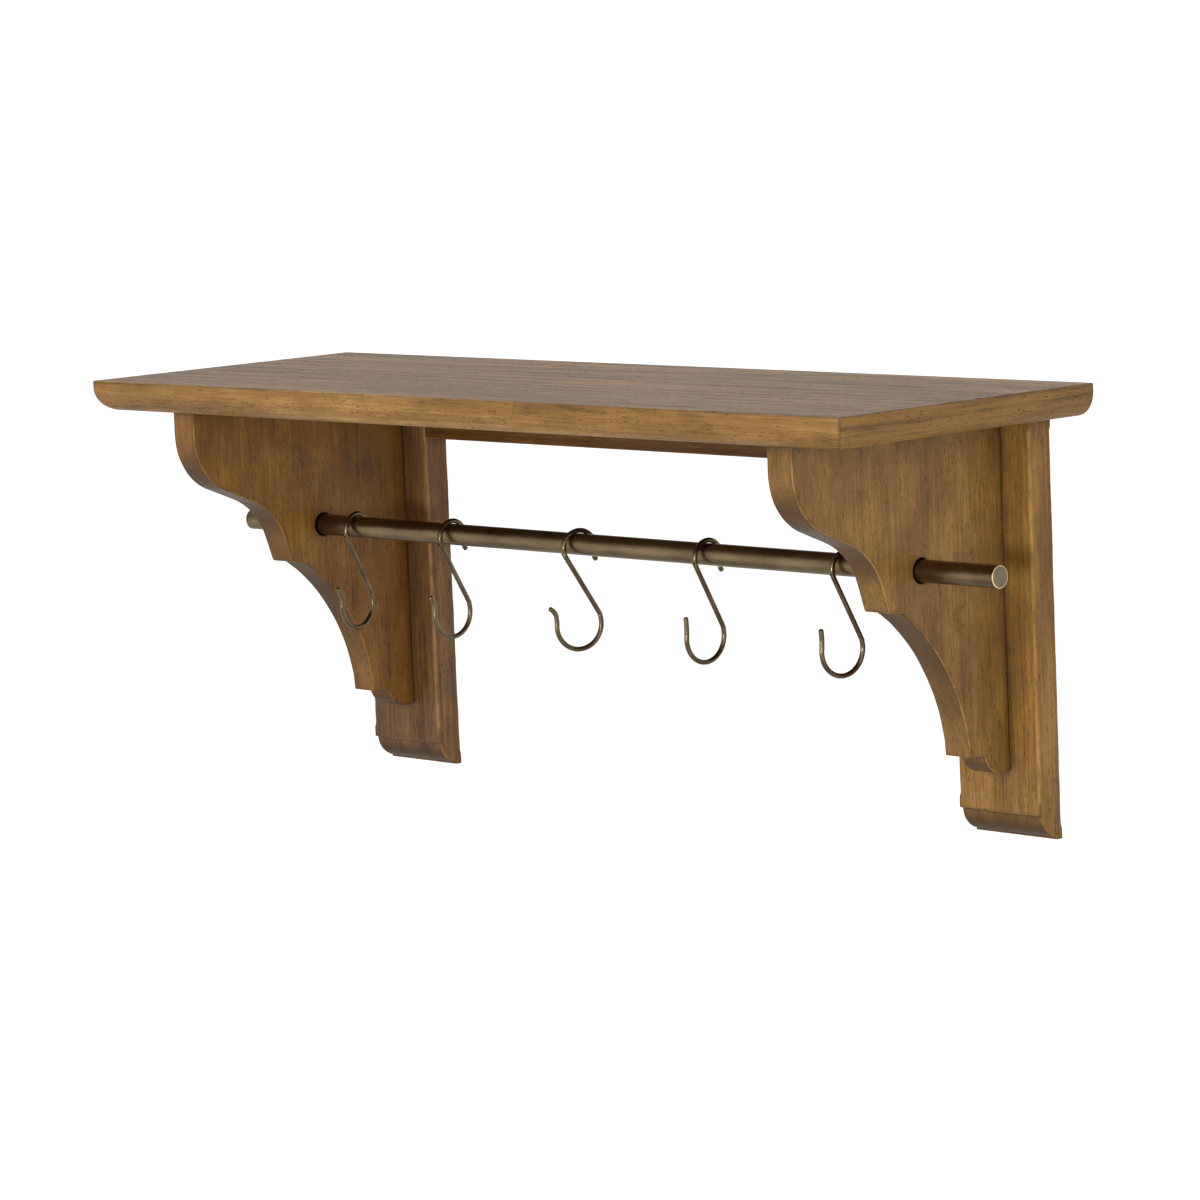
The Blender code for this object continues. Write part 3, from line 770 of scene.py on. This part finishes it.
def make_brackets():
    for side, sign in SIDES:
        low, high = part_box(f"bracket_{side}")
        bracket = eased_prism(
            f"scroll_bracket_{side}", bracket_outline(), low.x, high.x, BRACKET_ARRIS, sign * 2.0,
            timber[f"bracket_{side}"], radius=0.0020,
        )
        through = high.x - low.x
        wide = ROD_BORE + BORE_FLARE + OVERSHOOT
        bore = [
            (-OVERSHOOT, 0),
            (-OVERSHOOT, wide),
            (BORE_FLARE, ROD_BORE),
            (through - BORE_FLARE, ROD_BORE),
            (through + OVERSHOOT, wide),
            (through + OVERSHOOT, 0),
        ]
        cut(bracket, turned("bore", bore, (1, 0, 0), (low.x, ROD_AXIS.y, ROD_AXIS.z), [], 72))
        weigh(bracket)
        stand_for(bracket, f"bracket_{side}", "shelf")


def backplate_outline():
    """Side view of a backplate: square above, with a stepped and rounded foot."""
    ovolo = arc((0.0037, FOOT + 0.0232), 0.0216, 4, 76, 18)
    return [
        (0, UNDERSIDE - GAP),
        (STOCK, UNDERSIDE - GAP),
        (STOCK, FOOT + 0.0222),
        *ovolo,
        (0.0070, FOOT + 0.0018),
        (0.0070, FOOT),
        (0, FOOT),
    ]


def screw_mouth(name):
    """A cutter for the mouth of a screw's hole in the back, flared to the width of its head."""
    reach = 0.004
    shank = 0.0022
    low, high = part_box(name)
    head = (high.x - low.x) / 2 + GAP
    flare = [(0.0012, head), (0.0034, shank)]
    profile = [(-reach, 0), (-reach, head), *flare, (reach, shank), (reach, 0)]
    place = ((low.x + high.x) / 2, 0, (low.z + high.z) / 2)
    return turned("mouth", profile, (0, -1, 0), place, [], 32)


def make_backplates():
    behind = 0.004
    pocket_half, pocket_depth = 0.0065, -0.011
    for side, sign in SIDES:
        low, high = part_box(f"backplate_{side}")
        plate = eased_prism(
            f"wall_plate_{side}", backplate_outline(), low.x, high.x, PLATE_ARRIS, sign * 5.0,
            timber[f"plate_{side}"], radius=0.0008,
        )
        seat_low, seat_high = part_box(f"keyhole_hanger_{side}")
        room = Vector((GAP, GAP, GAP))
        seat_top = seat_high + room
        cut(plate, box_cutter(seat_low - room, (seat_top.x, behind, seat_top.z)))
        middle = (low.x + high.x) / 2
        cut(plate, box_cutter(
            (middle - pocket_half, pocket_depth, -0.020), (middle + pocket_half, behind, 0.006)
        ))
        for place in ("upper", "lower"):
            cut(plate, screw_mouth(f"plate_screw_{side}_{place}"))
        weigh(plate)
        stand_for(plate, f"backplate_{side}", "shelf")


def make_rail():
    low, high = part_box("rear_rail")
    outline = [(-high.y, high.z), (-low.y, high.z), (-low.y, low.z), (-high.y, low.z)]
    rail = eased_prism(
        "back_rail", outline, low.x, high.x, RAIL_ARRIS, 9.0, timber["rail"], radius=0.0014
    )
    weigh(rail)
    stand_for(rail, "rear_rail", "shelf")


# Rod and hooks

def cap_profile(depth, inner):
    """An end cap from its spigot to its face, which is dished a little inside a raised rim."""
    return [
        (-depth, 0),
        (-depth, inner - GAP),
        (-CAP_FLANGE, inner - GAP),
        (-CAP_FLANGE, ROD_RADIUS),
        (-CAP_ROUND, ROD_RADIUS),
        (-CAP_ROUND * 0.3, ROD_RADIUS - CAP_ROUND * 0.3),
        (0, ROD_RADIUS - CAP_ROUND),
        (0, ROD_RADIUS - CAP_RIM - 0.0001),
        (-0.00025, ROD_RADIUS - CAP_RIM - 0.0003),
        (-0.0002, ROD_RADIUS * 0.5),
        (-0.00015, 0),
    ]


def make_rod():
    half = (ROD_HIGH.x - ROD_LOW.x) / 2
    middle = (ROD_HIGH.x + ROD_LOW.x) / 2
    inner = ROD_RADIUS - ROD_WALL
    tube = [(-half, inner), (-half, ROD_RADIUS), (half, ROD_RADIUS), (half, inner)]
    rod = turned("rod", tube, (1, 0, 0), (middle, ROD_AXIS.y, ROD_AXIS.z), [ROD_BRASS], 96)
    stand_for(rod, "rod_tube", "rod")
    for side, sign in SIDES:
        low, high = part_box(f"rod_cap_{side}")
        face = Vector((high.x if sign > 0 else low.x, ROD_AXIS.y, ROD_AXIS.z))
        profile = cap_profile(high.x - low.x, inner)
        materials = [ROD_BRASS, RIM_BRASS, CAP_FACE]
        cap = turned(f"rod_end_{side}", profile, (sign, 0, 0), face, materials, 96)
        for polygon in cap.data.polygons:
            across = polygon.center - face
            radius = math.hypot(across.y, across.z)
            back = abs(across.x)
            if back < 0.0003 and radius < ROD_RADIUS - CAP_RIM - 0.0002:
                polygon.material_index = 2
            elif back < CAP_ROUND + 0.0001 and radius > ROD_RADIUS - CAP_RIM - 0.0006:
                polygon.material_index = 1
        stand_for(cap, f"rod_cap_{side}", "rod")


def hook_curve(flare):
    """Middle line of a hook as (forward, up) from the rod axis, from its tail to its tip."""
    loop_centre = Vector((0, ROD_RADIUS + GAP + HOOK_WIRE - HOOK_LOOP))
    span = HOOK_BOWL_CENTRE - loop_centre
    lean = math.asin((HOOK_LOOP + HOOK_BOWL) / span.length)
    leave = math.atan2(span.y, span.x) + math.pi / 2 - lean
    bowl_end = math.radians(8)

    def sweep(centre, radius, start, end, steps):
        angles = [start + (end - start) * i / steps for i in range(steps + 1)]
        return [centre + Vector((math.cos(a), math.sin(a))) * radius for a in angles]

    loop = sweep(loop_centre, HOOK_LOOP, math.pi, leave, 14)
    bowl = sweep(HOOK_BOWL_CENTRE, HOOK_BOWL, leave - math.pi, bowl_end, 18)
    tail = [loop[0] + Vector(s) for s in ((-0.0008, -0.0124), (0.0014, -0.0092), (0.0012, -0.0050))]
    spare = (1 - flare) * 0.0015
    rise = ((0, 0.004), (0.0006, 0.0080), (0.0026, 0.0116), (0.0058, 0.0148 + spare))
    tip = [bowl[-1] + Vector((forward * flare, up)) for forward, up in rise]
    return tail + loop + bowl + tip


def balance_turn(points):
    """The angle that brings the middle of a hook's weight straight below the rod."""
    weight, moment = 0.0, Vector((0, 0))
    for start, end in zip(points, points[1:]):
        length = (end - start).length
        weight += length
        moment += (start + end) / 2 * length
    centre = moment / weight
    return math.atan2(centre.x, -centre.y)


def smooth_line(points, parts):
    """A Catmull-Rom curve through the points."""
    padded = [points[0] * 2 - points[1], *points, points[-1] * 2 - points[-2]]
    line = []
    for a, b, c, d in zip(padded, padded[1:], padded[2:], padded[3:]):
        for k in range(parts):
            t = k / parts
            line.append(
                0.5 * (2 * b + (c - a) * t + (2 * a - 5 * b + 4 * c - d) * t**2
                       + (3 * b - a - 3 * c + d) * t**3)
            )
    line.append(points[-1])
    return line


def make_hook(number, x, turn, swing, flare):
    around = 20
    blunt_end = ((0.0, 0.45), (0.35, 0.80), (1.0, 1.0))  # shares of its length and of the radius
    blunt_length = HOOK_WIRE * 0.7
    shape = hook_curve(flare)
    hang = Matrix.Rotation(math.radians(swing) - balance_turn(shape), 2)
    spin = Matrix.Rotation(-math.radians(turn), 3, "Z")
    base = Vector((x, ROD_AXIS.y, ROD_AXIS.z))
    flat = smooth_line([hang @ p for p in shape], 4)
    centres = [spin @ Vector((0, -p.x, p.y)) for p in flat]
    side = spin @ Vector((1, 0, 0))
    last = len(centres) - 1
    bm = bmesh.new()
    rings = []
    for i, centre in enumerate(centres):
        along = (centres[min(i + 1, last)] - centres[max(i - 1, 0)]).normalized()
        out = along.cross(side).normalized()
        places = [(centre, HOOK_WIRE)]
        if i in (0, last):
            inward = along if i == 0 else -along
            places = [
                (centre + inward * blunt_length * t, HOOK_WIRE * share) for t, share in blunt_end
            ]
            if i == last:
                places.reverse()
        for at, size in places:
            ring = []
            for k in range(around):
                angle = math.tau * k / around
                offset = (side * math.cos(angle) + out * math.sin(angle)) * size
                ring.append(bm.verts.new(base + at + offset))
            rings.append(ring)
    skin(bm, rings)
    bm.faces.new(rings[0])
    bm.faces.new(rings[-1])
    hook = finish_mesh(f"hook_{number}", bm, [HOOK_BRASS], smooth_angle=60.0)
    stand_for(hook, f"s_hook_{number}", f"hook_{number}")


def finish_hardware():
    """The dowels, screws and hangers are right as they stand, and only get their finish."""
    finishes = {"dowel": timber["dowel"], "screw": SCREW, "keyhole_hanger": ZINC}
    for name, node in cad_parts.items():
        for kind, material in finishes.items():
            if kind in name:
                for slot in node.material_slots:
                    slot.material = material


# Stage, light and camera

def make_stage():
    """A pale floor that glows far off, so that it meets the room's white without a line."""
    s = Shader("pale_floor")
    s.surface.inputs["Base Color"].default_value = (0.80, 0.80, 0.795, 1.0)
    s.surface.inputs["Roughness"].default_value = 0.9
    s.surface.inputs["Emission Color"].default_value = (1.0, 1.0, 1.0, 1.0)
    glow_from, glow_full, glow = 3.8, 7.4, 0.66
    distance = s.vector("LENGTH", s.coordinate("Object"), output="Value")
    s.set("Emission Strength", s.remap(distance, glow_from, glow_full, 0.0, glow))
    bm = bmesh.new()
    bmesh.ops.create_circle(bm, cap_ends=True, radius=FLOOR_RADIUS, segments=96)
    bmesh.ops.translate(bm, verts=bm.verts, vec=(0, 0, FOOT - FLOOR_DROP))
    finish_mesh("floor", bm, [s.material])


def area_light(name, place, size, power):
    light = bpy.data.lights.new(name, "AREA")
    light.shape = "RECTANGLE"
    light.size, light.size_y = size
    light.energy = power
    lamp = bpy.data.objects.new(name, light)
    lamp.location = place
    lamp.rotation_mode = "QUATERNION"
    middle = Vector((0, -0.12, -0.1))
    lamp.rotation_quaternion = (middle - Vector(place)).to_track_quat("-Z", "Y")
    bpy.context.scene.collection.objects.link(lamp)


def make_light():
    world = bpy.data.worlds.new("soft_white_room")
    bpy.context.scene.world = world
    world.use_nodes = True
    nodes, links = world.node_tree.nodes, world.node_tree.links
    background = nodes["Background"]
    background.inputs["Color"].default_value = (1.0, 1.0, 1.0, 1.0)
    # The room is whitest at the horizon, where it meets the floor.
    coordinates = nodes.new("ShaderNodeTexCoord")
    split = nodes.new("ShaderNodeSeparateXYZ")
    fade = nodes.new("ShaderNodeMapRange")
    for name, value in (("From Min", 0.06), ("From Max", 0.30), ("To Min", 1.05), ("To Max", 0.54)):
        fade.inputs[name].default_value = value
    links.new(coordinates.outputs["Generated"], split.inputs[0])
    links.new(split.outputs["Z"], fade.inputs["Value"])
    links.new(fade.outputs["Result"], background.inputs["Strength"])
    area_light("key_softbox", (0.5, -3.0, 0.75), (1.6, 1.2), 9)
    area_light("front_lamp", (0.85, -3.2, -0.06), (0.40, 0.40), 42)
    area_light("top_softbox", (-0.2, -0.4, 2.4), (2.0, 1.4), 46)
    area_light("right_softbox", (3.0, -1.2, 0.6), (1.2, 1.4), 21)


def make_camera():
    """The photographer's place, from a fit of the object's own corners."""
    azimuth, elevation, roll = 0.79769, 0.12795, -0.04128
    offset = Vector((-0.01775, 0.01068, 4.31523))  # right, up and away from the aim
    aim = Vector((0, -0.150, TOP - 0.200))
    away = Vector((
        -math.sin(azimuth) * math.cos(elevation),
        math.cos(azimuth) * math.cos(elevation),
        -math.sin(elevation),
    ))
    level = Vector((math.cos(azimuth), math.sin(azimuth), 0))
    upward = level.cross(away)
    right = level * math.cos(roll) + upward * math.sin(roll)
    up = -level * math.sin(roll) + upward * math.cos(roll)
    place = aim - right * offset.x + up * offset.y - away * offset.z
    data = bpy.data.cameras.new("camera")
    data.sensor_width = 36
    data.lens = 150.04
    data.clip_start, data.clip_end = 0.1, 2000
    camera = bpy.data.objects.new("camera", data)
    turn = Matrix((right, up, -away)).transposed().to_4x4()
    camera.matrix_world = Matrix.Translation(place) @ turn
    bpy.context.scene.collection.objects.link(camera)
    bpy.context.scene.camera = camera


make_camera()
make_stage()
make_light()
bpy.context.scene.view_settings.view_transform = "Standard"
make_board()
make_brackets()
make_backplates()
make_rail()
make_rod()
for number, place in enumerate(HOOK_PLACES, start=1):
    make_hook(number, *place)
finish_hardware()
